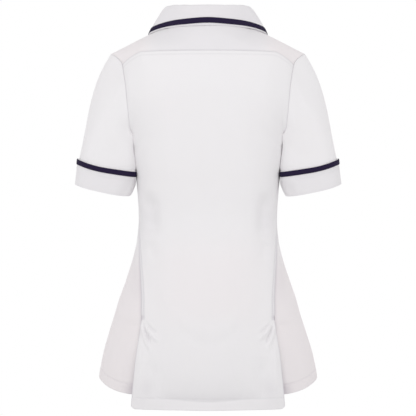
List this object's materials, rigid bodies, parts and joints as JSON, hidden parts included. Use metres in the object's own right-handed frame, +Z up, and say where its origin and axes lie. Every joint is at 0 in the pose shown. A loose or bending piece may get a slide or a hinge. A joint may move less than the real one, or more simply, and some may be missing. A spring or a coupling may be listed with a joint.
{
  "type": "medical tunic",
  "caption": "Short-sleeved white medical tunic, filled out as worn, with a back yoke, side vents, a revere collar, a buttoned front, and navy braid on collar and cuffs.",
  "frame": {"origin": "midway between the shoulders, at the height of the nape's low end, where the wearer's neck and shoulders carry the tunic", "axes": "+Z up, -Y towards the tunic's front, +X towards the wearer's left"},
  "size_m": [0.5, 0.2579, 0.7389],
  "materials": {
    "white_cloth": "white polyester and cotton twill, matt",
    "navy_braid": "navy woven braid, matt",
    "button": "white, satin"
  },
  "bodies": {
    "root": {"back": "white_cloth", "back_yoke": "white_cloth", "front_left": "white_cloth", "front_right": "white_cloth", "lapel_left": "white_cloth", "lapel_right": "white_cloth", "collar": "white_cloth", "collar_braid": "navy_braid", "sleeve_left": "white_cloth", "sleeve_right": "white_cloth", "cuff_left": "white_cloth", "cuff_right": "white_cloth", "cuff_braid_left": "navy_braid", "cuff_braid_right": "navy_braid", "button_1": "button", "button_2": "button", "button_3": "button", "button_4": "button", "button_5": "button", "button_6": "button"}
  },
  "joints": []
}
